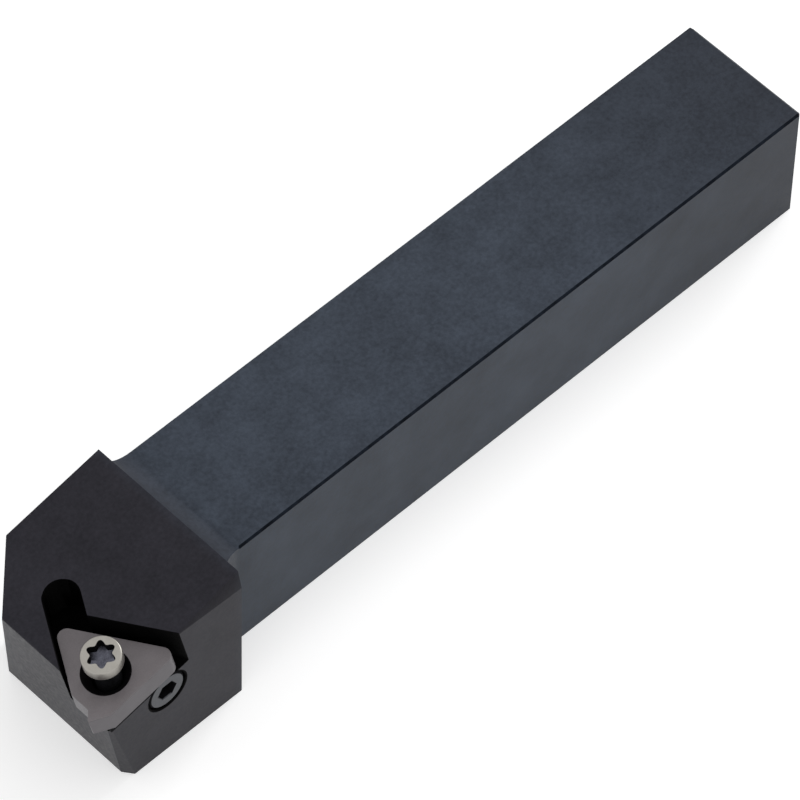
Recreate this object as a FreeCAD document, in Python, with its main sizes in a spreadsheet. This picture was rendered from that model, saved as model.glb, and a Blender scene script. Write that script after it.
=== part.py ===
import FreeCAD, Part
import os

import Sketcher
from FreeCAD import Placement, Rotation, Vector

# External threading tool holder: a square shank, a wider head with a sloping top, and a triangular
# insert that lies on a shim in the open pocket at the head's front right corner.
# Origin: centre of the shank's underside. X runs along the shank to the cutting end, Y from the
# left side to the insert's side, Z up. Lengths in millimetres, angles in degrees.

# Driving dimensions
SIZES = {
    # shank and head
    "shank_length": 105.5,
    "shank_width": 20.0,
    "shank_height": 20.0,
    "head_width": 25.9,
    "head_rise": 5.6,
    "top_length": 24.2,
    "top_tilt": 12.0,
    "cove_radius": 5.3,
    "edge_break": 0.35,
    # 45 degree corner at the front left, small bevel at the front right, facet at the rear right
    "corner_start": 15.6,
    "corner_angle": 45.0,
    "bevel_along": 1.05,
    "bevel_across": 1.42,
    "facet_drop": 3.0,
    "facet_inset": 0.7,
    "facet_rise": 2.5,
    # insert
    "insert_circle": 9.525,
    "insert_thickness": 3.52,
    "insert_sink": 2.42,
    "side_overhang": 0.65,
    "front_overhang": 0.75,
    "rear_corner_round": 1.2,
    "inner_corner_round": 1.2,
    "shoulder_reach": 5.0,
    "tooth_height": 1.05,
    "tooth_setback": 1.5,
    "left_flank": 46.0,
    "right_flank": 30.0,
    "nose_flat": 0.2,
    "insert_mouth": 6.5,
    "insert_bore": 4.1,
    "mouth_depth": 1.5,
    # shim
    "shim_thickness": 1.6,
    "shim_setback": 0.15,
    "shim_corner_round": 1.2,
    # pocket
    "rear_gap": 1.1,
    "left_gap": 0.47,
    "relief_diameter": 4.9,
    "relief_beyond_rear": 1.8,
    # insert screw
    "screw_thread": 3.5,
    "screw_neck": 3.4,
    "screw_head": 5.3,
    "screw_head_height": 1.8,
    "screw_cone_height": 0.7,
    "screw_rim": 0.25,
    "screw_stand": 4.64,
    "screw_grip": 8.0,
    "screw_lean": 1.6,
    "recess_across": 3.94,
    "recess_lobe": 0.95,
    "recess_web": 0.57,
    "recess_depth": 1.5,
    "recess_turn": 50.0,
    "thread_clearance": 0.05,
    "hole_spare": 2.0,
    # set screw in the side of the head
    "set_thread": 6.0,
    "set_length": 5.0,
    "set_sunk": 0.1,
    "set_chamfer": 0.35,
    "set_back": 5.0,
    "set_drop": 7.6,
    "groove_clearance": 0.1,
    "socket_across": 2.5,
    "socket_depth": 2.4,
}

# Reach of a cutting outline past the solid that it cuts
PAST = "2"
# Length of the pocket's open walls in circles of the insert, enough to pass the head's faces
OPEN_REACH = "2.5"
# Least volume that counts as a cut, cubic millimetres
LEAST_CUT = 0.01
# Two points closer than this are the same place
NEAR = 0.02
ALONG_Y = Vector(0, 1, 0)
ALONG_X = Vector(1, 0, 0)

doc = FreeCAD.newDocument("threading_tool_holder")
sheet = doc.addObject("Spreadsheet::Sheet", "sizes")
for row, (alias, number) in enumerate(SIZES.items(), start=1):
    sheet.set("A%d" % row, alias)
    sheet.set("B%d" % row, str(number))
    sheet.setAlias("B%d" % row, alias)
doc.recompute()


def cell(text):
    """An expression in which each size is written by its bare name."""
    for alias in sorted(SIZES, key=len, reverse=True):
        text = text.replace("@" + alias, "sizes." + alias)
    return text


def value(text):
    """What an expression comes to now."""
    number = sheet.evalExpression(cell(text))
    return float(getattr(number, "Value", number))


# Places that several pieces share, as expressions

RIGHT_FACE = "(@head_width - @shank_width / 2)"
HEAD_REAR = "(@shank_length / 2)"
COVE_START = "(%s - @cove_radius)" % HEAD_REAR
HEAD_TOP = "(@shank_height + @head_rise)"
# along the slope from the head's rear edge, and across from the shank's middle
AXIS_ALONG = "(@top_length + @front_overhang - @shoulder_reach)"
AXIS_ACROSS = "(%s + @side_overhang - @insert_circle / 2)" % RIGHT_FACE
FLOOR_DEPTH = "(@insert_sink + @insert_thickness + @shim_thickness)"
# the insert screw leans a little towards the head's rear, about its place in the pocket's floor
SCREW_TILT = "(@top_tilt - @screw_lean)"
FRONT_TOP_X = "(%s + @top_length * cos(@top_tilt))" % HEAD_REAR
FRONT_TOP_Z = "(%s - @top_length * sin(@top_tilt))" % HEAD_TOP
FRONT_FOOT_X = "(%s - %s * tan(@top_tilt))" % (FRONT_TOP_X, FRONT_TOP_Z)


def on_axis(depth):
    """Point of the insert's hole axis at a depth below the head's sloping top."""
    return (
        "%s + %s * cos(@top_tilt) - %s * sin(@top_tilt)" % (HEAD_REAR, AXIS_ALONG, depth),
        AXIS_ACROSS,
        "%s - %s * sin(@top_tilt) - %s * cos(@top_tilt)" % (HEAD_TOP, AXIS_ALONG, depth),
    )


def set_screw_centre():
    """X and Z of the set screw's axis: behind the insert's hole axis and below the insert's top."""
    depth = "(@insert_sink + @set_drop)"
    along = "(%s - @set_back)" % AXIS_ALONG
    return (
        "%s + %s * cos(@top_tilt) - %s * sin(@top_tilt)" % (HEAD_REAR, along, depth),
        "%s - %s * sin(@top_tilt) - %s * cos(@top_tilt)" % (HEAD_TOP, along, depth),
    )


def wall_point(rear, left):
    """Point of the insert's plane at these distances towards the rear wall and the left wall.

    The rear wall faces the triangle's side that looks 210 degrees from X, and the left wall the
    side that looks 330 degrees from X.
    """
    across = "-(%s + %s)" % (rear, left)
    along = "(%s - %s) / (2 * cos(30))" % (left, rear)
    return along, across


# Building blocks

def new_body(name):
    body = doc.addObject("PartDesign::Body", name)
    body.Label = name
    return body


def place(body, base, axis, angle):
    """Place a body by expressions."""
    body.Placement = Placement(Vector(), Rotation(axis, value(angle)))
    for letter, text in zip("xyz", base):
        body.setExpression(".Placement.Base." + letter, cell(text))
    body.setExpression(".Placement.Rotation.Angle", cell(angle))


def new_sketch(body, name, role, base=("0", "0", "0"), axis=None, angle="0"):
    """A sketch on one of the body's own planes, shifted and turned by expressions."""
    plane = [item for item in body.Origin.OriginFeatures if item.Role == role][0]
    sketch = body.newObject("Sketcher::SketchObject", name)
    sketch.AttachmentSupport = [(plane, "")]
    sketch.MapMode = "FlatFace"
    if axis is not None:
        sketch.AttachmentOffset = Placement(Vector(), Rotation(axis, value(angle)))
        sketch.setExpression(".AttachmentOffset.Rotation.Angle", cell(angle))
    for letter, text in zip("xyz", base):
        if text != "0":
            sketch.setExpression(".AttachmentOffset.Base." + letter, cell(text))
    return sketch


def bind(sketch, kind, where, text):
    """A constraint of one sketch whose value follows an expression."""
    index = sketch.addConstraint(Sketcher.Constraint(kind, *where, value(text)))
    sketch.setExpression("Constraints[%d]" % index, cell(text))


def outline(sketch, corners, arcs=None):
    """A closed outline through corners, pairs of expressions.

    arcs gives, for the stretch that starts at a corner, the centre of its arc, counterclockwise.
    """
    arcs = arcs or {}
    points = [Vector(value(x), value(y), 0) for x, y in corners]
    count = len(points)
    for index, start in enumerate(points):
        end = points[(index + 1) % count]
        if index in arcs:
            centre = Vector(value(arcs[index][0]), value(arcs[index][1]), 0)
            circle = Part.Circle(centre, Vector(0, 0, 1), centre.distanceToPoint(start))
            sketch.addGeometry(Part.ArcOfCircle(circle, circle.parameter(start), circle.parameter(end)))
        else:
            sketch.addGeometry(Part.LineSegment(start, end))
    for index, (x, y) in enumerate(corners):
        sketch.addConstraint(Sketcher.Constraint("Coincident", (index - 1) % count, 2, index, 1))
        bind(sketch, "DistanceX", (-1, 1, index, 1), x)
        bind(sketch, "DistanceY", (-1, 1, index, 1), y)
    for index in arcs:
        bind(sketch, "DistanceX", (-1, 1, index, 3), arcs[index][0])


def circle(sketch, diameter, x=None, y=None):
    """A circle at the sketch's origin, or at a place given by expressions."""
    middle = Vector(0, 0, 0) if x is None else Vector(value(x), value(y), 0)
    index = sketch.addGeometry(Part.Circle(middle, Vector(0, 0, 1), value(diameter) / 2))
    if x is None:
        sketch.addConstraint(Sketcher.Constraint("Coincident", index, 3, -1, 1))
    else:
        bind(sketch, "DistanceX", (-1, 1, index, 3), x)
        bind(sketch, "DistanceY", (-1, 1, index, 3), y)
    bind(sketch, "Diameter", (index,), diameter)


def pad(body, sketch, name, length, turned=False):
    feature = body.newObject("PartDesign::Pad", name)
    feature.Profile = sketch
    feature.Reversed = turned
    feature.setExpression("Length", cell(length))
    return feature


def turn(body, sketch, kind, name):
    """A full turn of a section about its sketch's upright axis."""
    feature = body.newObject("PartDesign::" + kind, name)
    feature.Profile = sketch
    feature.ReferenceAxis = (sketch, ["V_Axis"])
    feature.Angle = 360
    return feature


def cut(body, sketch, name, length=None, turned=False, direction=None):
    """A pocket, of a length or through all, which has to take something away."""
    doc.recompute()
    before = body.Shape.Volume
    feature = body.newObject("PartDesign::Pocket", name)
    feature.Profile = sketch
    feature.Reversed = turned
    if length is None:
        feature.Type = "ThroughAll"
    else:
        feature.setExpression("Length", cell(length))
    if direction is not None:
        feature.UseCustomVector = True
        for letter, text in zip("xyz", direction):
            feature.setExpression(".Direction." + letter, cell(text))
    doc.recompute()
    if before - body.Shape.Volume < LEAST_CUT:
        raise RuntimeError(name + " takes nothing away")
    return feature


def finish_edges(body, base, kind, name, size, wanted):
    """A fillet or chamfer of the edges that wanted() picks by their middle point."""
    doc.recompute()
    names = []
    for index, edge in enumerate(base.Shape.Edges, start=1):
        middle = edge.valueAt((edge.FirstParameter + edge.LastParameter) / 2)
        if wanted(edge, middle):
            names.append("Edge%d" % index)
    if not names:
        raise RuntimeError(name + " finds no edge")
    feature = body.newObject("PartDesign::" + kind, name)
    feature.Base = (base, names)
    feature.setExpression("Radius" if kind == "Fillet" else "Size", cell(size))
    doc.recompute()
    return feature


# Holder: shank and head in one piece

def holder_blank(body):
    """The bar from the side, the wider head, and the cove round the shank where the head starts."""
    left_face = "@shank_width / 2"
    side = new_sketch(body, "bar_side", "XZ_Plane", ("0", "0", left_face))
    outline(
        side,
        [
            ("-@shank_length / 2", "0"),
            ("-@shank_length / 2", "@shank_height"),
            (COVE_START, "@shank_height"),
            (HEAD_REAR, "@shank_height + @cove_radius"),
            (HEAD_REAR, HEAD_TOP),
            (FRONT_TOP_X, FRONT_TOP_Z),
            (FRONT_FOOT_X, "0"),
        ],
        {2: (COVE_START, "@shank_height + @cove_radius")},
    )
    pad(body, side, "bar", "@shank_width", turned=True)

    head = new_sketch(body, "head_side", "XZ_Plane", ("0", "0", left_face))
    outline(
        head,
        [(HEAD_REAR, "0"), (HEAD_REAR, HEAD_TOP), (FRONT_TOP_X, FRONT_TOP_Z), (FRONT_FOOT_X, "0")],
    )
    pad(body, head, "head", "@head_width", turned=True)

    # the cove on the right side of the shank, and the corner where both coves meet
    block = new_sketch(body, "side_cove_block", "XZ_Plane", ("0", "0", "-@shank_width / 2"))
    outline(
        block,
        [
            (COVE_START, "0"),
            (COVE_START, "@shank_height"),
            (HEAD_REAR, "@shank_height + @cove_radius"),
            (HEAD_REAR, "0"),
        ],
        {1: (COVE_START, "@shank_height + @cove_radius")},
    )
    pad(body, block, "side_block", "@cove_radius", turned=True)
    hollow = new_sketch(body, "side_cove_circle", "XY_Plane")
    circle(hollow, "2 * @cove_radius", COVE_START, "@shank_width / 2 + @cove_radius")
    cut(body, hollow, "side_cove", turned=True)


def holder_corners(body):
    """The long 45 degree corner, the small bevel and the facet of the head's top."""
    start = "(%s + @corner_start)" % HEAD_REAR
    left_face = "(-@shank_width / 2)"
    corner = new_sketch(body, "front_left_outline", "XY_Plane")
    outline(
        corner,
        [
            ("%s - %s" % (start, PAST), "%s - %s * tan(@corner_angle)" % (left_face, PAST)),
            (
                "%s + @head_width" % start,
                "%s + @head_width * tan(@corner_angle)" % left_face,
            ),
            ("%s + @head_width" % start, "%s - %s * tan(@corner_angle)" % (left_face, PAST)),
        ],
    )
    cut(body, corner, "front_left_corner", turned=True)

    # the bevel runs out where the front face meets the sloping top
    bevel = new_sketch(body, "front_right_outline", "XY_Plane")
    outline(
        bevel,
        [
            (
                "%s + %s * @bevel_along" % (FRONT_FOOT_X, PAST),
                "%s - (1 + %s) * @bevel_across" % (RIGHT_FACE, PAST),
            ),
            (
                "%s + %s * @bevel_along" % (FRONT_FOOT_X, PAST),
                "%s + %s * @bevel_across" % (RIGHT_FACE, PAST),
            ),
            (
                "%s - (1 + %s) * @bevel_along" % (FRONT_FOOT_X, PAST),
                "%s + %s * @bevel_across" % (RIGHT_FACE, PAST),
            ),
        ],
    )
    cut(
        body,
        bevel,
        "front_right_bevel",
        direction=(
            "%s - %s + @bevel_along / 2" % (FRONT_TOP_X, FRONT_FOOT_X),
            "@bevel_across / 2",
            FRONT_TOP_Z,
        ),
    )

    # the facet starts behind the cove, whose corner would stand past it otherwise
    facet = new_sketch(
        body,
        "facet_outline",
        "YZ_Plane",
        (
            RIGHT_FACE,
            "%s - @facet_drop - @cove_radius * tan(@facet_rise)" % HEAD_TOP,
            COVE_START,
        ),
        ALONG_X,
        "-@facet_rise",
    )
    outline(
        facet,
        [
            ("@facet_inset", "-@facet_drop"),
            ("@facet_inset", "2 * @facet_drop"),
            ("-2 * @facet_inset", "2 * @facet_drop"),
        ],
    )
    cut(body, facet, "rear_right_facet", turned=True)


def holder_pocket(body):
    """The open insert pocket, its relief hole, and the holes for both screws."""
    top = on_axis("0")
    rear = "(@insert_circle / 2 + @rear_gap)"
    left = "(@insert_circle / 2 + @left_gap)"
    reach = "(%s * @insert_circle)" % OPEN_REACH
    corner_x, corner_y = wall_point(rear, left)
    pocket = new_sketch(body, "pocket_outline", "XY_Plane", top, ALONG_Y, "@top_tilt")
    outline(
        pocket,
        [
            (corner_x, corner_y),
            ("%s + %s * sin(30)" % (corner_x, reach), "%s + %s * cos(30)" % (corner_y, reach)),
            ("%s - %s * sin(30)" % (corner_x, reach), "%s + %s * cos(30)" % (corner_y, reach)),
        ],
    )
    cut(body, pocket, "insert_pocket", FLOOR_DEPTH)

    # the relief: a round end, tangent to the left wall, and a slot as wide that runs into the pocket
    radius = "@relief_diameter / 2"
    hole_x, hole_y = wall_point("(%s + @relief_beyond_rear)" % rear, "(%s - %s)" % (left, radius))
    relief = new_sketch(body, "relief_outline", "XY_Plane", top, ALONG_Y, "@top_tilt")
    circle(relief, "@relief_diameter", hole_x, hole_y)
    cut(body, relief, "relief_hole", FLOOR_DEPTH)

    def slot_corner(side, run):
        """Corner of the slot: 1 or -1 towards the left wall, and a distance along that wall."""
        return (
            "%s + %d * %s * cos(30) + %s * sin(30)" % (hole_x, side, radius, run),
            "%s - %d * %s * sin(30) + %s * cos(30)" % (hole_y, side, radius, run),
        )

    slot = new_sketch(body, "relief_slot_outline", "XY_Plane", top, ALONG_Y, "@top_tilt")
    run = "@relief_diameter"
    outline(
        slot,
        [slot_corner(1, "0"), slot_corner(1, run), slot_corner(-1, run), slot_corner(-1, "0")],
    )
    cut(body, slot, "relief_slot", FLOOR_DEPTH)

    floor_x, floor_y, floor_z = on_axis(FLOOR_DEPTH)
    above_floor = (
        "%s + %s * sin(%s)" % (floor_x, PAST, SCREW_TILT),
        floor_y,
        "%s + %s * cos(%s)" % (floor_z, PAST, SCREW_TILT),
    )
    thread = new_sketch(body, "thread_outline", "XY_Plane", above_floor, ALONG_Y, SCREW_TILT)
    circle(thread, "@screw_thread + 2 * @thread_clearance")
    cut(body, thread, "thread_hole", "%s + @screw_grip + @hole_spare" % PAST)

    centre_x, centre_z = set_screw_centre()
    face = (centre_x, centre_z, "-%s" % RIGHT_FACE)
    bore = new_sketch(body, "set_bore_outline", "XZ_Plane", face)
    circle(bore, "@set_thread + 2 * @thread_clearance")
    return cut(body, bore, "set_screw_bore", "@set_sunk + @set_length + @hole_spare", turned=True)


def make_holder():
    body = new_body("holder")
    holder_blank(body)
    holder_corners(body)
    last = holder_pocket(body)
    rear = -value("@shank_length / 2")

    def rear_edge(edge, middle):
        return abs(middle.x - rear) < NEAR

    finish_edges(body, last, "Chamfer", "rear_edge_break", "@edge_break", rear_edge)
    return body


# Insert: one triangle with a single tooth at its front corner

def make_insert():
    body = new_body("insert")
    half = "(@insert_circle / 2)"
    tip_x = "(@shoulder_reach + @tooth_height)"
    tip_y = "(%s - @tooth_setback)" % half
    sketch = new_sketch(body, "insert_outline", "XY_Plane")
    outline(
        sketch,
        [
            ("0", "-@insert_circle"),
            ("@shoulder_reach", "(@shoulder_reach * cos(30) - %s) / sin(30)" % half),
            (
                "@shoulder_reach",
                "%s - @nose_flat / 2 - @tooth_height * tan(@left_flank)" % tip_y,
            ),
            (tip_x, "%s - @nose_flat / 2" % tip_y),
            (tip_x, "%s + @nose_flat / 2" % tip_y),
            (
                "%s - (@tooth_setback - @nose_flat / 2) / tan(@right_flank)" % tip_x,
                half,
            ),
            ("-@insert_circle * cos(30)", half),
        ],
    )
    block = pad(body, sketch, "insert_block", "@insert_thickness", turned=True)
    inner = Vector(0, -value("@insert_circle"), 0)
    rear = Vector(-value("@insert_circle * cos(30)"), value(half), 0)

    def upright_at(place):
        def wanted(edge, middle):
            return Vector(middle.x, middle.y, 0).distanceToPoint(place) < NEAR
        return wanted

    block = finish_edges(
        body, block, "Fillet", "inner_corner", "@inner_corner_round", upright_at(inner)
    )
    block = finish_edges(body, block, "Fillet", "rear_corner", "@rear_corner_round", upright_at(rear))

    bore = new_sketch(body, "insert_bore_outline", "XY_Plane")
    circle(bore, "@insert_bore")
    cut(body, bore, "insert_hole", "@insert_thickness")

    mouth = new_sketch(body, "mouth_section", "XZ_Plane")
    outline(
        mouth,
        [
            ("0", "-@mouth_depth"),
            ("@insert_bore / 2", "-@mouth_depth"),
            ("@insert_mouth / 2", "0"),
            ("0", "0"),
        ],
    )
    turn(body, mouth, "Groove", "hole_mouth")
    place(body, on_axis("@insert_sink"), ALONG_Y, "@top_tilt")
    return body


# Shim: a smaller triangle, flush with the head's side and front, with a groove for the set screw

def make_shim():
    body = new_body("shim")
    half = "(@insert_circle / 2 - @side_overhang)"
    front = "(@shoulder_reach - @front_overhang - @shim_setback)"
    sketch = new_sketch(body, "shim_outline", "XY_Plane")
    outline(
        sketch,
        [
            ("0", "-2 * %s" % half),
            (front, "(%s * cos(30) - %s) / sin(30)" % (front, half)),
            (front, half),
            ("-2 * %s * cos(30)" % half, half),
        ],
    )
    plate = pad(body, sketch, "shim_plate", "@shim_thickness", turned=True)
    inner = Vector(0, -2 * value(half), 0)
    rear = Vector(-2 * value(half + " * cos(30)"), value(half), 0)

    def pointed(edge, middle):
        flat = Vector(middle.x, middle.y, 0)
        return min(flat.distanceToPoint(inner), flat.distanceToPoint(rear)) < NEAR

    finish_edges(body, plate, "Fillet", "shim_corners", "@shim_corner_round", pointed)

    bore = new_sketch(body, "shim_bore_outline", "XY_Plane")
    circle(bore, "@insert_bore")
    cut(body, bore, "shim_hole", "@shim_thickness")

    depth = "(@set_drop - @insert_thickness)"
    groove = new_sketch(body, "groove_outline", "XZ_Plane", ("0", "0", "-%s" % half))
    circle(groove, "@set_thread + 2 * @groove_clearance", "-@set_back", "-%s" % depth)
    cut(body, groove, "set_screw_groove", "@set_sunk + @set_length + @hole_spare", turned=True)
    place(body, on_axis("(@insert_sink + @insert_thickness)"), ALONG_Y, "@top_tilt")
    return body


# Insert screw, stood up in its thread as the photograph shows it

def make_insert_screw():
    body = new_body("insert_screw")
    head = "@screw_head / 2"
    stand = "(@insert_thickness + @shim_thickness + @screw_stand)"
    under = "(%s - @screw_head_height)" % stand
    sketch = new_sketch(body, "screw_section", "XZ_Plane")
    outline(
        sketch,
        [
            ("0", stand),
            ("%s - @screw_rim" % head, stand),
            (head, "%s - @screw_rim" % stand),
            (head, under),
            ("@screw_neck / 2", "%s - @screw_cone_height" % under),
            ("@screw_neck / 2", "0"),
            ("@screw_thread / 2", "-(@screw_thread - @screw_neck) / 2"),
            ("@screw_thread / 2", "-@screw_grip"),
            ("0", "-@screw_grip"),
        ],
    )
    turn(body, sketch, "Revolution", "screw_body")

    top = ("0", "0", stand)
    core = new_sketch(body, "recess_core_outline", "XY_Plane", top)
    circle(core, "@recess_across - 2 * @recess_web")
    cut(body, core, "recess_core", "@recess_depth")
    lobe = new_sketch(body, "recess_lobe_outline", "XY_Plane", top)
    lobe_place = "(@recess_across - @recess_lobe) / 2"
    circle(
        lobe,
        "@recess_lobe",
        "%s * cos(@recess_turn)" % lobe_place,
        "%s * sin(@recess_turn)" % lobe_place,
    )
    one = cut(body, lobe, "recess_lobe", "@recess_depth")
    lobes = body.newObject("PartDesign::PolarPattern", "recess_lobes")
    lobes.Originals = [one]
    lobes.Axis = (lobe, ["N_Axis"])
    lobes.Angle = 360
    lobes.Occurrences = 6
    body.Tip = lobes
    place(body, on_axis(FLOOR_DEPTH), ALONG_Y, SCREW_TILT)
    return body


# Set screw: headless, with a hexagon socket, its axis square to the head's right face

def make_set_screw():
    body = new_body("set_screw")
    sketch = new_sketch(body, "set_outline", "XY_Plane")
    circle(sketch, "@set_thread")
    block = pad(body, sketch, "set_block", "@set_length", turned=True)

    def any_edge(edge, middle):
        return edge.isClosed()

    finish_edges(body, block, "Chamfer", "set_ends", "@set_chamfer", any_edge)

    hexagon = new_sketch(body, "socket_outline", "XY_Plane")
    radius = "@socket_across / 2 / cos(30)"
    outline(
        hexagon,
        [("%s * cos(%d)" % (radius, turn), "%s * sin(%d)" % (radius, turn))
         for turn in range(0, 360, 60)],
    )
    cut(body, hexagon, "hexagon_socket", "@socket_depth")
    centre_x, centre_z = set_screw_centre()
    place(body, (centre_x, "%s - @set_sunk" % RIGHT_FACE, centre_z), ALONG_X, "-90")
    return body


pieces = [make_holder(), make_insert(), make_shim(), make_insert_screw(), make_set_screw()]
doc.recompute()

for item in doc.Objects:
    if "Invalid" in item.State or "Error" in item.State:
        raise RuntimeError(item.Label + " failed: " + ", ".join(item.State))
for piece in pieces:
    if piece.Shape.isNull() or not piece.Shape.isValid():
        raise RuntimeError(piece.Label + " has no valid shape")

os.makedirs("parts", exist_ok=True)
for piece in pieces:
    piece.Shape.exportStep(os.path.join("parts", piece.Label + ".step"))
    box = piece.Shape.BoundBox
    print(piece.Label, "volume %.1f" % piece.Shape.Volume, "solids", len(piece.Shape.Solids),
          "x %.2f %.2f y %.2f %.2f z %.2f %.2f" % (box.XMin, box.XMax, box.YMin, box.YMax,
                                                  box.ZMin, box.ZMax))
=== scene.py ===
"""External threading tool holder: the finish of each piece round its solid frame, and the studio."""

from math import atan2, cos, pi, radians, sin, tau

import bmesh
import bpy
from mathutils import Matrix, Vector
from mathutils.bvhtree import BVHTree


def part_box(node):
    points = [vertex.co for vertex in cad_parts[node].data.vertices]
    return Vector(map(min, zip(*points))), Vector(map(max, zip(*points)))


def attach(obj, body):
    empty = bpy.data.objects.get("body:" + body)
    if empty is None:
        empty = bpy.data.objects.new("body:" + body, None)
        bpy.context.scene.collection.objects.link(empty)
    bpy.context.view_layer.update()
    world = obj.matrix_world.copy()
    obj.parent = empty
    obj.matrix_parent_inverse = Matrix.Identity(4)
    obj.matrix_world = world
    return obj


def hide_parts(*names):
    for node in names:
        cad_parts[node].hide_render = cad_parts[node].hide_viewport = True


bl_info = {
    "name": "Threading tool holder",
    "version": (1, 0, 0),
    "blender": (4, 5, 0),
    "location": "View3D > Sidebar > Tool Holder",
    "description": "Finishes the shank and head, the insert, its shim and both screws",
    "category": "Object",
}

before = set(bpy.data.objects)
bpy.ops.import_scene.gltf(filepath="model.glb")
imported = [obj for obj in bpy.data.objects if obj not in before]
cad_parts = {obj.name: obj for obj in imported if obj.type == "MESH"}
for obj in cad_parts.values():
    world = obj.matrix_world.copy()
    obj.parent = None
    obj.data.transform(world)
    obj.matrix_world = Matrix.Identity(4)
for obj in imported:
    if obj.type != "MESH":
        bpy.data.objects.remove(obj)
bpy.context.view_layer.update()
BODY = "root"
MM = 0.001

# The head's sloping top, which the insert, the shim and the insert screw share
HEAD_REAR = 52.75 * MM
HEAD_TOP = 25.6 * MM
TOP_TILT = radians(12)
AXIS_ALONG = 19.95 * MM
AXIS_ACROSS = 11.7875 * MM
INSERT_SINK = 2.42 * MM
INSERT_THICKNESS = 3.52 * MM
SHIM_THICKNESS = 1.6 * MM
# The insert screw leans towards the head's rear about its place in the pocket's floor
SCREW_LEAN = radians(1.6)
SHANK_SIDE = 10 * MM
SHANK_TOP = 20 * MM
# Points closer than this are one point
MERGE = 0.002 * MM
FLAT = radians(0.4)
# Faces this far behind the head's convex outline belong to the pocket or a hole
INSIDE = 0.03 * MM
# Places of a piece's materials: its own finish, the painted shade of its hollows, a second finish
# (on the holder's facet and the insert's flanks a darker copy as painted shade, on the recess's floor
# painted shade and reflection) and the holder's painted dark reflection on the shank's edge
OWN, HOLLOW_SHADE, SECOND, DARK_REFLECTION_LINE = 0, 1, 2, 3
# Least turn, in degrees, of an edge that is rounded or broken on the holder and on small pieces
SHARP, SMALL_SHARP = 28, 35
# Faces that meet at less than this are shaded as one
SMOOTH = radians(35)
# Reach of the head's edges by the insert, from its hole axis and below the sloping top
BY_POCKET = 12.6 * MM
BY_POCKET_DEPTH = 13.5 * MM
# Reach of the edges round the set screw's hole from its axis
BY_SET_SCREW = 3.2 * MM
# Outer edges shorter than this stay sharp
SHORT_EDGE = 0.5 * MM
# Rise of a normal: less is a wall of a hole or recess, or a flank of the insert
WALL_RISE = 0.9
FLANK_RISE = 0.6
# Least reach of the facet's normal to the right and up
FACET_RIGHT = 0.3
FACET_UP = 0.1
# Thread of the insert screw: depth and flat crest in pitches, plain stretch at its end
THREAD_DEPTH = 0.61
CREST_FLAT = 0.16
THREAD_END = 0.3 * MM
# Where the rear's painted shade turns into the shank's colour, and the shank's into the head's
REAR_SHADE_FADE = (-52 * MM, -15 * MM)
HEAD_FADE = (47 * MM, 54 * MM)
# Steps round the rim of the insert screw's head, lobes of its recess, dip of the recess's floor
RIM_STEPS = 4
LOBES = 6
RECESS_DIP = 0.25 * MM


def tilted(depth):
    """The place of something that stands square to the sloping top on the insert's hole axis."""
    turn = Matrix.Rotation(TOP_TILT, 4, "Y")
    start = Matrix.Translation((HEAD_REAR, AXIS_ACROSS, HEAD_TOP))
    return start @ turn @ Matrix.Translation((AXIS_ALONG, 0, -depth))


def leaning(height):
    """The place of something on the insert screw's axis at a height above the pocket's floor."""
    foot = tilted(INSERT_SINK + INSERT_THICKNESS + SHIM_THICKNESS)
    return foot @ Matrix.Rotation(-SCREW_LEAN, 4, "Y") @ Matrix.Translation((0, 0, height))


# Mesh helpers

def merged_copy(node):
    """A merged copy of a solid's mesh, its flat faces joined."""
    mesh = bmesh.new()
    mesh.from_mesh(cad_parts[node].data)
    bmesh.ops.remove_doubles(mesh, verts=mesh.verts, dist=MERGE)
    bmesh.ops.dissolve_limit(mesh, angle_limit=FLAT, verts=mesh.verts, edges=mesh.edges)
    mesh.normal_update()
    return mesh


def hollow_faces(mesh):
    """Faces of the head's pocket and holes, which lie behind its convex outline."""
    hull = bmesh.new()
    for vert in mesh.verts:
        hull.verts.new(vert.co)
    bmesh.ops.convex_hull(hull, input=list(hull.verts))
    outline = BVHTree.FromBMesh(hull)
    hull.free()
    found = []
    for face in mesh.faces:
        middle = face.calc_center_median()
        if middle.x > HEAD_REAR + INSIDE and outline.find_nearest(middle)[3] > INSIDE:
            found.append(face)
    return found


def bore_faces(mesh, reach):
    """Walls and mouth of the hole on the insert's axis, within reach of that axis."""
    local = tilted(0).inverted()
    found = []
    for face in mesh.faces:
        middle = local @ face.calc_center_median()
        rise = (local.to_3x3() @ face.normal).z
        if middle.xy.length < reach and abs(rise) < WALL_RISE:
            found.append(face)
    return found


def sharp_edges(mesh, least, wanted):
    """Wanted edges whose faces meet at an angle, in degrees, of at least this much."""
    found = []
    for edge in mesh.edges:
        if len(edge.link_faces) != 2 or edge.calc_face_angle(0) < radians(least):
            continue
        if wanted(edge):
            found.append(edge)
    return found


def worn_layer(mesh):
    """How worn each face is, 0 where nothing is said."""
    return mesh.faces.layers.float.get("worn") or mesh.faces.layers.float.new("worn")


def soften(mesh, edges, width, segments, material=-1, worn=1.0):
    """Round edges, or break them flat, and mark how worn the new faces are."""
    layer = worn_layer(mesh)
    made = bmesh.ops.bevel(
        mesh,
        geom=edges,
        offset=width,
        offset_type="OFFSET",
        segments=segments,
        profile=0.5,
        affect="EDGES",
        clamp_overlap=True,
        material=material,
    )
    for face in made["faces"]:
        face[layer] = worn


def finished(mesh, name, node, materials):
    """The object of a mesh that stands for a solid, with its materials and even shading."""
    worn_layer(mesh)
    data = bpy.data.meshes.new(name)
    mesh.to_mesh(data)
    mesh.free()
    piece = bpy.data.objects.new(name, data)
    bpy.context.scene.collection.objects.link(piece)
    data.shade_smooth()
    data.set_sharp_from_angle(angle=SMOOTH)
    normals = piece.modifiers.new("even_normals", "WEIGHTED_NORMAL")
    normals.keep_sharp = True
    for material in materials:
        data.materials.append(material)
    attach(piece, BODY)
    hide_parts(node)
    return piece


# Material helpers

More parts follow.
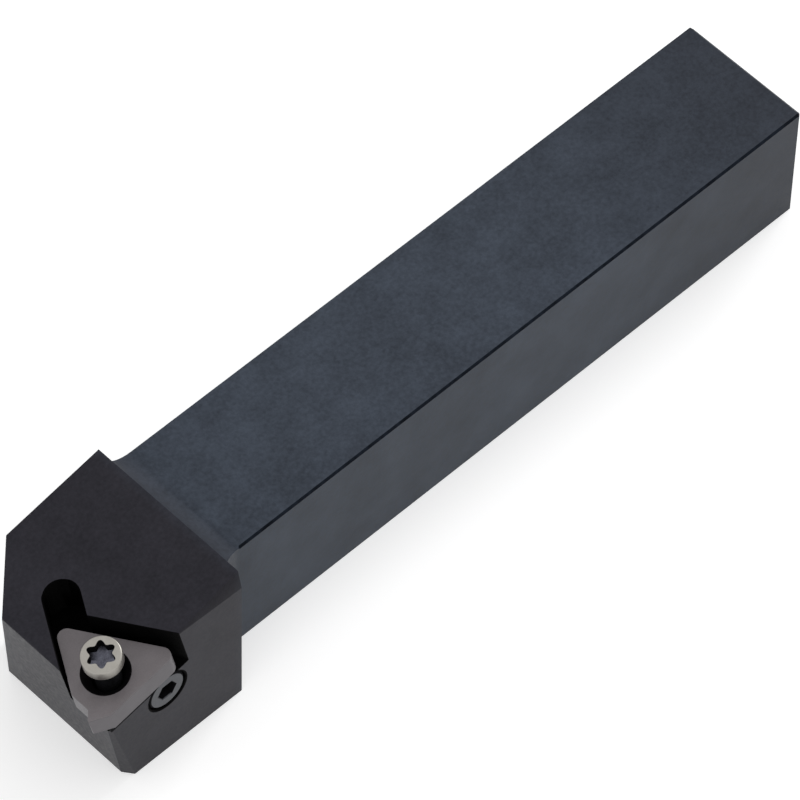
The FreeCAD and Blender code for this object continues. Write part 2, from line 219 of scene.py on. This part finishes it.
class Shader:
    """A node material with one Principled shader, its patterns on object coordinates."""

    def __init__(self, name):
        self.material = bpy.data.materials.new(name)
        self.material.use_nodes = True
        self.tree = self.material.node_tree
        self.tree.nodes.clear()
        self.out = self.add("ShaderNodeOutputMaterial")
        self.base = self.add("ShaderNodeBsdfPrincipled")
        self.link(self.base.outputs["BSDF"], self.out.inputs["Surface"])
        self.place = self.add("ShaderNodeTexCoord").outputs["Object"]

    def add(self, kind, **values):
        node = self.tree.nodes.new(kind)
        for key, value in values.items():
            setattr(node, key, value)
        return node

    def link(self, start, end):
        self.tree.links.new(start, end)

    def set(self, **values):
        for key, value in values.items():
            self.base.inputs[key.replace("_", " ")].default_value = value

    def noise(self, size, detail, roughness):
        """Noise whose features measure about size millimetres."""
        mapping = self.add("ShaderNodeMapping")
        mapping.inputs["Scale"].default_value = [1 / (MM * size)] * 3
        self.link(self.place, mapping.inputs["Vector"])
        node = self.add("ShaderNodeTexNoise")
        node.inputs["Scale"].default_value = 1.0
        node.inputs["Detail"].default_value = detail
        node.inputs["Roughness"].default_value = roughness
        self.link(mapping.outputs["Vector"], node.inputs["Vector"])
        return node.outputs["Fac"]

    def ranged(self, value, low, high, to_low, to_high):
        node = self.add("ShaderNodeMapRange")
        self.link(value, node.inputs["Value"])
        ends = {"From Min": low, "From Max": high, "To Min": to_low, "To Max": to_high}
        for key, number in ends.items():
            node.inputs[key].default_value = number
        return node.outputs["Result"]

    def math(self, operation, first, second):
        node = self.add("ShaderNodeMath", operation=operation)
        for index, item in enumerate((first, second)):
            if isinstance(item, (int, float)):
                node.inputs[index].default_value = item
            else:
                self.link(item, node.inputs[index])
        return node.outputs["Value"]

    def mix(self, factor, first, second):
        """A mix of two colours, each a tuple or a socket."""
        node = self.add("ShaderNodeMix", data_type="RGBA")
        self.link(factor, node.inputs["Factor"])
        for name, item in (("A", first), ("B", second)):
            socket = [one for one in node.inputs if one.name == name and one.type == "RGBA"][0]
            if isinstance(item, tuple):
                socket.default_value = (*item, 1)
            else:
                self.link(item, socket)
        return [one for one in node.outputs if one.type == "RGBA"][0]

    def scaled(self, colour, factor):
        """A colour made lighter or darker by a factor."""
        node = self.add("ShaderNodeVectorMath", operation="SCALE")
        self.link(colour, node.inputs[0])
        self.link(factor, node.inputs["Scale"])
        return node.outputs["Vector"]

    def along(self, letter):
        """One of the object's own coordinates, in metres."""
        node = self.add("ShaderNodeSeparateXYZ")
        self.link(self.place, node.inputs["Vector"])
        return node.outputs[letter]

    def worn(self):
        """1 on the rounded edges, 0 elsewhere."""
        return self.add("ShaderNodeAttribute", attribute_name="worn").outputs["Fac"]

    def bump(self, height, strength, distance, normal=None):
        node = self.add("ShaderNodeBump")
        node.inputs["Strength"].default_value = strength
        node.inputs["Distance"].default_value = distance * MM
        self.link(height, node.inputs["Height"])
        if normal is not None:
            self.link(normal, node.inputs["Normal"])
        return node.outputs["Normal"]


def black_oxide(name, look, gloss):
    """Blackened steel: bluish on the shank, darker at its rear as painted shade, nearly black on the
    head, with slightly bare edges that are lighter partly as a painted highlight.
    """
    shader = Shader(name)
    cloud = shader.noise(6.0, 4.0, 0.6)
    speckle = shader.noise(0.55, 3.0, 0.6)
    grain = shader.noise(0.16, 2.0, 0.5)
    # Darker towards the shank's rear as painted shade
    along = shader.along("X")
    rear_shade_fade = shader.ranged(along, *REAR_SHADE_FADE, 0.0, 1.0)
    shank = shader.mix(rear_shade_fade, tuple(look.rear_shade), tuple(look.shank))
    head_fade = shader.ranged(along, *HEAD_FADE, 0.0, 1.0)
    plain = shader.mix(head_fade, shank, tuple(look.head))
    tone = shader.ranged(shader.math("ADD", cloud, speckle), 0.7, 1.35, 0.7, 1.4)
    body = shader.scaled(plain, tone)
    # Lighter steel on the rounded edges: partly wear, partly a painted highlight
    edge_and_highlight = shader.math("MULTIPLY", shader.worn(), shader.ranged(speckle, 0.35, 0.6, 0.15, 0.9))
    shader.link(shader.mix(edge_and_highlight, body, tuple(look.bare_and_highlight)), shader.base.inputs["Base Color"])
    shader.link(shader.ranged(speckle, 0.3, 0.7, 0.36, 0.5), shader.base.inputs["Roughness"])
    fine = shader.bump(grain, 0.3, 0.012)
    shader.link(shader.bump(speckle, 0.35, 0.03, fine), shader.base.inputs["Normal"])
    shader.set(IOR=1.39, Specular_IOR_Level=gloss, Specular_Tint=(*look.sheen, 1))
    return shader.material


def painted_dark(name, colour):
    """Painted shade on the hollows, the shim and the screws' recesses, and a painted dark reflection on
    the shank's edge: black, rough and almost without gloss.
    """
    shader = Shader(name)
    cloud = shader.noise(1.2, 3.0, 0.6)
    grain = shader.noise(0.2, 2.0, 0.5)
    darker, lighter = (tuple(part * scale for part in colour) for scale in (0.5, 1.5))
    body = shader.mix(shader.ranged(cloud, 0.3, 0.7, 0.0, 1.0), darker, lighter)
    shader.link(body, shader.base.inputs["Base Color"])
    shader.link(shader.ranged(grain, 0.3, 0.7, 0.6, 0.8), shader.base.inputs["Roughness"])
    shader.link(shader.bump(grain, 0.3, 0.01), shader.base.inputs["Normal"])
    shader.set(IOR=1.2, Specular_IOR_Level=0.2)
    return shader.material


def ground_carbide(name, colour, lighter, edge):
    """Sintered and ground carbide: even grey, fine grain, a honed edge made brighter, partly as a
    painted highlight.
    """
    shader = Shader(name)
    cloud = shader.noise(2.5, 3.0, 0.6)
    grain = shader.noise(0.2, 2.0, 0.6)
    tone = shader.ranged(shader.math("ADD", cloud, grain), 0.7, 1.3, 0.0, 1.0)
    body = shader.mix(tone, colour, lighter)
    # The honed edges take the edge colour: partly the hone's own tone, partly a painted highlight
    edge_and_highlight = shader.math("MULTIPLY", shader.worn(), shader.ranged(grain, 0.3, 0.6, 0.5, 1.0))
    shader.link(shader.mix(edge_and_highlight, body, edge), shader.base.inputs["Base Color"])
    shader.link(shader.ranged(grain, 0.3, 0.7, 0.34, 0.48), shader.base.inputs["Roughness"])
    shader.link(shader.bump(grain, 0.25, 0.01), shader.base.inputs["Normal"])
    shader.set(Metallic=0.2)
    return shader.material


def turned_steel(name, colour, lighter, rough=0.34):
    """Screw steel: faint clouds of tone and a fine grain."""
    shader = Shader(name)
    cloud = shader.noise(1.2, 3.0, 0.6)
    grain = shader.noise(0.12, 2.0, 0.6)
    tone = shader.ranged(shader.math("ADD", cloud, grain), 0.7, 1.3, 0.0, 1.0)
    shader.link(shader.mix(tone, colour, lighter), shader.base.inputs["Base Color"])
    spread = shader.ranged(cloud, 0.3, 0.7, rough - 0.06, rough + 0.08)
    shader.link(spread, shader.base.inputs["Roughness"])
    shader.link(shader.bump(grain, 0.25, 0.008), shader.base.inputs["Normal"])
    shader.set(Metallic=1.0)
    return shader.material


# Settings that a user would change

def colour_property(name, description, default):
    return bpy.props.FloatVectorProperty(
        name=name, description=description, default=default, size=3, min=0, max=1, subtype="COLOR"
    )


def length_property(name, description, default):
    return bpy.props.FloatProperty(
        name=name, description=description, default=default * MM, min=0, unit="LENGTH", precision=5
    )


def number_property(name, description, default):
    return bpy.props.FloatProperty(name=name, description=description, default=default, min=0)


class HolderLook(bpy.types.PropertyGroup):
    edge: length_property("Edge", "Rounding of the outer edges", 0.3)
    near_edge: length_property("Near edge", "Rounding of the outer edges by the pocket", 0.12)
    pocket_edge: length_property("Pocket edge", "Flat on the edges of the pocket and holes", 0.07)
    shank_edge: length_property("Shank edge", "Flat on the shank's upper right edge", 0.3)
    hole_edge: length_property("Hole edge", "Flat round the set screw's hole", 0.22)
    head: colour_property("Head", "Blackened steel of the head", (0.0205, 0.0195, 0.0245))
    shank: colour_property("Shank", "Blackened steel of the shank", (0.042, 0.052, 0.069))
    # Painted shade: the blackened steel darker at the shank's rear
    rear_shade: colour_property("Rear", "Blackened steel at the shank's rear", (0.026, 0.031, 0.041))
    # Partly wear, partly a painted highlight on the rounded edges
    bare_and_highlight: colour_property("Bare edge", "Steel that shows at the edges", (0.045, 0.045, 0.05))
    # Painted shade: the pocket and holes are coloured near black
    hollow_shade: colour_property("Hollows", "Pocket and holes", (0.001, 0.001, 0.001))
    sheen: colour_property("Sheen", "Tint of the gloss", (0.86, 0.87, 1.0))
    # Painted dark reflection on the flat of the shank's upper right edge
    line: colour_property("Line", "The flat on the shank's edge", (0.008, 0.011, 0.017))
    facet_least: bpy.props.FloatProperty(
        name="Facet least",
        description="Least area of the facet",
        default=5 * MM * MM,
        precision=7,
        unit="AREA",
    )
    gloss: number_property("Gloss", "Gloss of the blackened steel", 0.22)
    # Painted shade: less gloss, so that the facet renders darker
    facet_shade_gloss: number_property("Facet gloss", "Gloss of the facet", 0.08)


class InsertLook(bpy.types.PropertyGroup):
    hone: length_property("Hone", "Rounding of the insert's edges", 0.07)
    mouth: length_property("Mouth", "Diameter of the hole's mouth", 6.5)
    colour: colour_property("Colour", "Carbide", (0.155, 0.139, 0.146))
    lighter: colour_property("Lighter", "Lighter carbide grain", (0.19, 0.172, 0.18))
    # The honed edge's own tone, made lighter as a painted highlight
    ridge_highlight: colour_property("Ridge", "Honed edge", (0.2, 0.184, 0.19))
    # Painted shade: the insert's sides take a darker copy of the carbide
    shaded_flank: colour_property("Flank", "Ground sides of the insert", (0.088, 0.08, 0.088))
    lighter_shaded_flank: colour_property("Lighter flank", "Lighter grain of the sides", (0.112, 0.102, 0.112))
    # Painted shade: the carbide shim is coloured near black
    shim: colour_property("Shim", "Shim plate", (0.004, 0.004, 0.005))
    # Painted shade: the wall of the hole is coloured near black
    bore_shade: colour_property("Bore", "Wall of the hole", (0.003, 0.0025, 0.003))


class ScrewLook(bpy.types.PropertyGroup):
    sides: bpy.props.IntProperty(name="Sides", description="Steps of a full turn", default=96, min=24)
    head: length_property("Head", "Diameter of the insert screw's head", 5.3)
    head_height: length_property("Head height", "Height of the head's side", 1.8)
    stand: length_property("Stand", "Top of the head above the insert", 4.64)
    rim: length_property("Rim", "Rounding of the head's rim", 0.25)
    lower_edge: length_property("Lower edge", "Flat on the head's lower edge", 0.05)
    cone: length_property("Cone", "Height of the cone under the head", 0.7)
    neck: length_property("Neck", "Diameter under the head", 3.4)
    thread: length_property("Thread", "Outer diameter of the thread", 3.5)
    grip: length_property("Grip", "Length of thread in the holder", 8.0)
    pitch: length_property("Pitch", "Thread pitch", 0.6)
    recess: length_property("Recess", "Six-lobe recess, point to point", 3.94)
    web: length_property("Web", "How far the recess narrows between its lobes", 0.57)
    recess_depth: length_property("Recess depth", "Depth of the recess", 1.5)
    recess_turn: bpy.props.FloatProperty(
        name="Recess turn", description="Turn of the lobes", default=radians(50), unit="ROTATION"
    )
    colour: colour_property("Colour", "Insert screw", (0.33, 0.315, 0.285))
    lighter: colour_property("Lighter", "Lighter screw steel", (0.38, 0.365, 0.335))
    # Painted shade and reflection: the recess's floor darker and bluish
    recess_shade_colour: colour_property("Recess floor", "Floor of the recess", (0.05, 0.05, 0.065))
    recess_shade_lighter: colour_property("Lighter floor", "Its lighter parts", (0.15, 0.155, 0.19))
    # Painted shade on the neck, the thread, the recess's walls and in the set screw's socket
    shade: colour_property("Shade", "Neck, thread and walls of the recess", (0.006, 0.006, 0.007))
    socket: length_property("Socket", "Reach of the hexagon's corners from its axis", 1.8)
    socket_edge: length_property("Socket edge", "Flat on the socket's mouth", 0.14)
    set_colour: colour_property("Set screw", "Blackened set screw", (0.055, 0.058, 0.066))
    set_lighter: colour_property("Lighter set screw", "Its lighter parts", (0.09, 0.093, 0.1))


class StudioLook(bpy.types.PropertyGroup):
    floor: number_property("Floor", "Paleness of the floor", 0.8)
    glow: number_property("Glow", "White added to the floor as seen", 0.5)
    fill: number_property("Fill", "Light from all round", 0.65)
    key: bpy.props.FloatProperty(name="Key", description="Main lamp", default=4.0, unit="POWER")
    lens: bpy.props.FloatProperty(
        name="Lens", description="Focal length", default=313.12, unit="CAMERA"
    )
    roll: bpy.props.FloatProperty(
        name="Roll",
        description="Turn of the camera about its view",
        default=radians(1.758),
        unit="ROTATION",
    )


# Operators

class TOOL_OT_holder(bpy.types.Operator):
    """Shank and head with rounded edges and the blackened finish"""

    bl_idname = "tool_holder.holder"
    bl_label = "Holder"

    def execute(self, context):
        look = context.scene.holder_look
        mesh = merged_copy("holder")
        # The pocket and holes take the near black of painted shade
        for face in hollow_faces(mesh):
            face.material_index = HOLLOW_SHADE

        def mouth(edge):
            """Where an outer face meets the pocket or a hole."""
            first, second = edge.link_faces
            return first.material_index != second.material_index

        def outer(edge):
            return all(face.material_index == OWN for face in edge.link_faces)

        def along_shank(edge):
            """The shank's long edge between its top and its right side."""
            return all(
                abs(vert.co.y - SHANK_SIDE) < MERGE and abs(vert.co.z - SHANK_TOP) < MERGE
                for vert in edge.verts
            )

        def by_pocket(edge):
            """Beside the insert, its pocket or the set screw."""
            local = tilted(0).inverted() @ ((edge.verts[0].co + edge.verts[1].co) / 2)
            return local.xy.length < BY_POCKET and local.z > -BY_POCKET_DEPTH

        low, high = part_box("set_screw")

        def by_screw(edge):
            """Round the set screw, in the head's side."""
            spot = (edge.verts[0].co + edge.verts[1].co) / 2
            across = spot.x - (low[0] + high[0]) / 2
            up = spot.z - (low[2] + high[2]) / 2
            return spot.y > high[1] and across**2 + up**2 < BY_SET_SCREW**2

        # The flat on the shank's long edge is coloured as a painted dark reflection, and shows no wear
        long_edge = sharp_edges(mesh, SHARP, along_shank)
        soften(mesh, long_edge, look.shank_edge, 1, DARK_REFLECTION_LINE, 0.0)
        # The mouths of the set screw's hole and of the pocket are broken flat and take painted shade
        # too
        hole = sharp_edges(mesh, SHARP, lambda edge: mouth(edge) and by_screw(edge))
        soften(mesh, hole, look.hole_edge, 1, HOLLOW_SHADE, 0.0)
        mouths = sharp_edges(
            mesh, SHARP, lambda edge: mouth(edge) and by_pocket(edge) and not by_screw(edge)
        )
        soften(mesh, mouths, look.pocket_edge, 1, HOLLOW_SHADE, 0.0)
        near = sharp_edges(mesh, SHARP, lambda edge: outer(edge) and by_pocket(edge))
        soften(mesh, near, look.near_edge, 2)
        far = sharp_edges(
            mesh,
            SHARP,
            lambda edge: outer(edge) and not by_pocket(edge) and edge.calc_length() > SHORT_EDGE,
        )
        soften(mesh, far, look.edge, 3)
        # The facet takes a copy of the blackened steel with less gloss, which renders darker as painted
        # shade
        for face in mesh.faces:
            slanted = face.normal.y > FACET_RIGHT and face.normal.z > FACET_UP
            if slanted and face.material_index == OWN and face.calc_area() > look.facet_least:
                face.material_index = SECOND
        finished(
            mesh,
            "holder_body",
            "holder",
            [
                black_oxide("black_oxide", look, look.gloss),
                painted_dark("hollow_painted_shade", tuple(look.hollow_shade)),
                black_oxide("facet_shaded_oxide", look, look.facet_shade_gloss),
                painted_dark("line_dark_reflection", tuple(look.line)),
            ],
        )
        return {"FINISHED"}


class TOOL_OT_insert(bpy.types.Operator):
    """Triangular insert with honed edges, and the shim under it"""

    bl_idname = "tool_holder.insert"
    bl_label = "Insert and shim"

    def execute(self, context):
        look = context.scene.insert_look
        mesh = merged_copy("insert")
        # The hole's walls and mouth take the near black of painted shade
        for face in bore_faces(mesh, look.mouth / 2):
            face.material_index = HOLLOW_SHADE

        def rim(edge):
            return all(face.material_index == OWN for face in edge.link_faces)

        soften(mesh, sharp_edges(mesh, SMALL_SHARP, rim), look.hone, 2)
        carbide = ground_carbide(
            "ground_carbide", tuple(look.colour), tuple(look.lighter), tuple(look.ridge_highlight)
        )
        # The flanks take a darker copy of the carbide as painted shade
        shaded_flank = ground_carbide(
            "ground_flank_shaded", tuple(look.shaded_flank), tuple(look.lighter_shaded_flank), tuple(look.lighter_shaded_flank)
        )
        # Faces square to the top, the flanks, take the darker copy
        upright = tilted(0).to_3x3().inverted()
        for face in mesh.faces:
            if face.material_index == OWN and abs((upright @ face.normal).z) < FLANK_RISE:
                face.material_index = SECOND
        bore_shade = painted_dark("bore_painted_shade", tuple(look.bore_shade))
        finished(mesh, "threading_insert", "insert", [carbide, bore_shade, shaded_flank])
        # The shim takes the near black of painted shade
        mesh = merged_copy("shim")
        finished(mesh, "seat_shim", "shim", [painted_dark("shim_carbide", tuple(look.shim))])
        return {"FINISHED"}


class TOOL_OT_insert_screw(bpy.types.Operator):
    """Insert screw: spun head, neck and thread, with a six-lobe recess"""

    bl_idname = "tool_holder.insert_screw"
    bl_label = "Insert screw"

    def profile(self, look):
        """Radius and height from the rim of the head's top down to the thread's end."""
        head, rim, flat = look.head / 2, look.rim, look.lower_edge
        under = look.stand - look.head_height
        cone_end = under - look.cone
        seat = INSERT_THICKNESS + SHIM_THICKNESS
        points = [(head - rim, look.stand)]
        for step in range(1, RIM_STEPS + 1):
            turn = pi / 2 * step / RIM_STEPS
            points.append((head - rim + rim * sin(turn), look.stand - rim + rim * cos(turn)))
        points += [(head, under + flat), (head - flat, under)]
        points.append((look.neck / 2, cone_end))
        crest = look.thread / 2
        root = crest - THREAD_DEPTH * look.pitch
        level = cone_end - look.pitch
        end = -seat - look.grip
        while level - look.pitch > end + THREAD_END:
            points += [
                (root, level),
                (crest, level - look.pitch * (1 - CREST_FLAT) / 2),
                (crest, level - look.pitch * (1 + CREST_FLAT) / 2),
            ]
            level -= look.pitch
        points += [(root, level), (root, end), (0, end)]
        return points

    def execute(self, context):
        look = context.scene.screw_look
        mesh = bmesh.new()
        points = [mesh.verts.new((radius, 0, height)) for radius, height in self.profile(look)]
        edges = [mesh.edges.new(pair) for pair in zip(points, points[1:])]
        bmesh.ops.spin(
            mesh,
            geom=points + edges,
            axis=(0, 0, 1),
            angle=tau,
            steps=look.sides,
            use_merge=True,
            use_duplicate=False,
        )
        bmesh.ops.remove_doubles(mesh, verts=mesh.verts, dist=MERGE)
        middle = (look.recess - look.web) / 2

        def lobed(vert):
            """The recess's outline at the angle of a vertex."""
            turn = atan2(vert.co.y, vert.co.x)
            radius = middle + look.web / 2 * cos(LOBES * (turn - look.recess_turn))
            vert.co.x = radius * cos(turn)
            vert.co.y = radius * sin(turn)

        def drawn(loop, change):
            """The inner loop that comes from drawing an open loop further."""
            made = bmesh.ops.extrude_edge_only(mesh, edges=loop)["geom"]
            for vert in made:
                if isinstance(vert, bmesh.types.BMVert):
                    change(vert)
            return [edge for edge in mesh.edges if edge.is_boundary]

        def lowered(vert):
            vert.co.z -= look.recess_depth

        rim = [edge for edge in mesh.edges if edge.is_boundary]
        loop = drawn(drawn(rim, lobed), lowered)
        floor = bmesh.ops.contextual_create(mesh, geom=loop)["faces"]
        poked = bmesh.ops.poke(mesh, faces=floor)["verts"]
        bmesh.ops.translate(mesh, verts=poked, vec=(0, 0, -RECESS_DIP))
        bmesh.ops.recalc_face_normals(mesh, faces=mesh.faces)
        mesh.normal_update()
        under = look.stand - look.head_height
        # Below the head and on the recess's walls the screw takes painted shade
        for face in mesh.faces:
            place = face.calc_center_median()
            inside = place.xy.length < look.recess / 2 and place.z < look.stand - MERGE
            if place.z < under or (inside and abs(face.normal.z) < WALL_RISE):
                face.material_index = HOLLOW_SHADE
            # The recess's floor takes a darker, bluish steel as painted shade and reflection
            elif inside:
                face.material_index = SECOND
        seat = INSERT_THICKNESS + SHIM_THICKNESS
        bmesh.ops.transform(mesh, matrix=leaning(seat), verts=mesh.verts)
        steel = turned_steel("screw_steel", tuple(look.colour), tuple(look.lighter))
        shade = painted_dark("screw_shade", tuple(look.shade))
        floor = turned_steel(
            "recess_shade_and_reflection", tuple(look.recess_shade_colour), tuple(look.recess_shade_lighter), 0.3
        )
        finished(mesh, "insert_clamp_screw", "insert_screw", [steel, shade, floor])
        return {"FINISHED"}


class TOOL_OT_set_screw(bpy.types.Operator):
    """Set screw with its hexagon socket in the side of the head"""

    bl_idname = "tool_holder.set_screw"
    bl_label = "Set screw"

    def execute(self, context):
        look = context.scene.screw_look
        mesh = merged_copy("set_screw")
        low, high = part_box("set_screw")
        axis = Vector(((low[0] + high[0]) / 2, 0, (low[2] + high[2]) / 2))
        face_side = high[1]
        # Faces behind the set screw's face, its socket and thread, take painted shade
        for face in mesh.faces:
            if face.calc_center_median().y < face_side - MERGE:
                face.material_index = HOLLOW_SHADE

        def round_socket(edge):
            """The mouth of the hexagon socket."""
            away = [Vector((vert.co.x, 0, vert.co.z)) - axis for vert in edge.verts]
            near = all(item.length < look.socket for item in away)
            return near and all(vert.co.y > face_side - MERGE for vert in edge.verts)

        soften(mesh, sharp_edges(mesh, SMALL_SHARP, round_socket), look.socket_edge, 1)
        steel = turned_steel(
            "blackened_steel", tuple(look.set_colour), tuple(look.set_lighter), 0.38
        )
        shade = painted_dark("socket_painted_shade", tuple(look.shade))
        finished(mesh, "shim_set_screw", "set_screw", [steel, shade])
        return {"FINISHED"}


class TOOL_OT_studio(bpy.types.Operator):
    """Pale floor, soft light and the camera"""

    bl_idname = "tool_holder.studio"
    bl_label = "Studio"

    camera_place = Vector((385.46, 369.33, 727.81)) * MM
    camera_target = Vector((17.338, 7.364, 20.0)) * MM
    sensor = 36
    far_end = 20
    key_place = Vector((-0.9, -0.1, 0.8))
    key_target = Vector((20, 0, 10)) * MM
    key_size = 0.4
    floor_reach = 1.5

    def seen(self, tree):
        """1 for rays from the camera, a reflection or a transmission."""
        path = tree.nodes.new("ShaderNodeLightPath")
        total = path.outputs["Is Camera Ray"]
        for name in ("Is Glossy Ray", "Is Transmission Ray"):
            node = tree.nodes.new("ShaderNodeMath")
            node.operation = "MAXIMUM"
            tree.links.new(total, node.inputs[0])
            tree.links.new(path.outputs[name], node.inputs[1])
            total = node.outputs["Value"]
        return total

    def make_floor(self, look):
        mesh = bmesh.new()
        bmesh.ops.create_grid(mesh, x_segments=2, y_segments=2, size=self.floor_reach)
        data = bpy.data.meshes.new("floor")
        mesh.to_mesh(data)
        mesh.free()
        floor = bpy.data.objects.new("floor", data)
        bpy.context.scene.collection.objects.link(floor)
        material = bpy.data.materials.new("pale_floor")
        material.use_nodes = True
        tree = material.node_tree
        tree.nodes.clear()
        out = tree.nodes.new("ShaderNodeOutputMaterial")
        paper = tree.nodes.new("ShaderNodeBsdfDiffuse")
        paper.inputs["Color"].default_value = (look.floor, look.floor, look.floor, 1)
        glow = tree.nodes.new("ShaderNodeEmission")
        strength = tree.nodes.new("ShaderNodeMath")
        strength.operation = "MULTIPLY"
        strength.inputs[1].default_value = look.glow
        tree.links.new(self.seen(tree), strength.inputs[0])
        tree.links.new(strength.outputs["Value"], glow.inputs["Strength"])
        both = tree.nodes.new("ShaderNodeAddShader")
        tree.links.new(paper.outputs["BSDF"], both.inputs[0])
        tree.links.new(glow.outputs["Emission"], both.inputs[1])
        tree.links.new(both.outputs["Shader"], out.inputs["Surface"])
        data.materials.append(material)

    def make_world(self, look):
        world = bpy.data.worlds.new("studio")
        bpy.context.scene.world = world
        world.use_nodes = True
        tree = world.node_tree
        tree.nodes.clear()
        out = tree.nodes.new("ShaderNodeOutputWorld")
        light = tree.nodes.new("ShaderNodeBackground")
        light.inputs["Strength"].default_value = look.fill
        white = tree.nodes.new("ShaderNodeBackground")
        for background in (light, white):
            background.inputs["Color"].default_value = (1, 1, 1, 1)
        mix = tree.nodes.new("ShaderNodeMixShader")
        tree.links.new(self.seen(tree), mix.inputs["Fac"])
        tree.links.new(light.outputs["Background"], mix.inputs[1])
        tree.links.new(white.outputs["Background"], mix.inputs[2])
        tree.links.new(mix.outputs["Shader"], out.inputs["Surface"])

    def lamp(self, name, place, target, power, size):
        data = bpy.data.lights.new(name, "AREA")
        data.energy = power
        data.size = size
        lamp = bpy.data.objects.new(name, data)
        bpy.context.scene.collection.objects.link(lamp)
        turn = (target - place).to_track_quat("-Z", "Y").to_matrix().to_4x4()
        lamp.matrix_world = Matrix.Translation(place) @ turn

    def execute(self, context):
        look = context.scene.studio_look
        self.make_floor(look)
        self.make_world(look)
        self.lamp("key", self.key_place, self.key_target, look.key, self.key_size)
        data = bpy.data.cameras.new("camera")
        data.lens = look.lens
        data.sensor_width = self.sensor
        data.sensor_fit = "HORIZONTAL"
        data.clip_end = self.far_end
        camera = bpy.data.objects.new("camera", data)
        context.scene.collection.objects.link(camera)
        way = self.camera_target - self.camera_place
        turn = way.to_track_quat("-Z", "Y").to_matrix().to_4x4()
        roll = Matrix.Rotation(look.roll, 4, "Z")
        camera.matrix_world = Matrix.Translation(self.camera_place) @ turn @ roll
        context.scene.camera = camera
        context.scene.view_settings.view_transform = "Standard"
        return {"FINISHED"}


STEPS = (TOOL_OT_holder, TOOL_OT_insert, TOOL_OT_insert_screw, TOOL_OT_set_screw, TOOL_OT_studio)


class TOOL_PT_holder(bpy.types.Panel):
    """The pieces of the tool holder and their settings"""

    bl_label = "Tool Holder"
    bl_space_type = "VIEW_3D"
    bl_region_type = "UI"
    bl_category = "Tool Holder"

    def draw(self, context):
        for step in STEPS:
            self.layout.operator(step.bl_idname)
        for name in LOOKS:
            group = getattr(context.scene, name)
            box = self.layout.box()
            for key in group.__annotations__:
                box.prop(group, key)


LOOKS = {
    "holder_look": HolderLook,
    "insert_look": InsertLook,
    "screw_look": ScrewLook,
    "studio_look": StudioLook,
}


def register():
    for kind in (*LOOKS.values(), *STEPS, TOOL_PT_holder):
        bpy.utils.register_class(kind)
    for name, kind in LOOKS.items():
        setattr(bpy.types.Scene, name, bpy.props.PointerProperty(type=kind))


def unregister():
    for name in LOOKS:
        delattr(bpy.types.Scene, name)
    for kind in reversed((*LOOKS.values(), *STEPS, TOOL_PT_holder)):
        bpy.utils.unregister_class(kind)


def main():
    register()
    for step in STEPS:
        group, name = step.bl_idname.split(".")
        getattr(getattr(bpy.ops, group), name)()


if __name__ == "__main__":
    main()
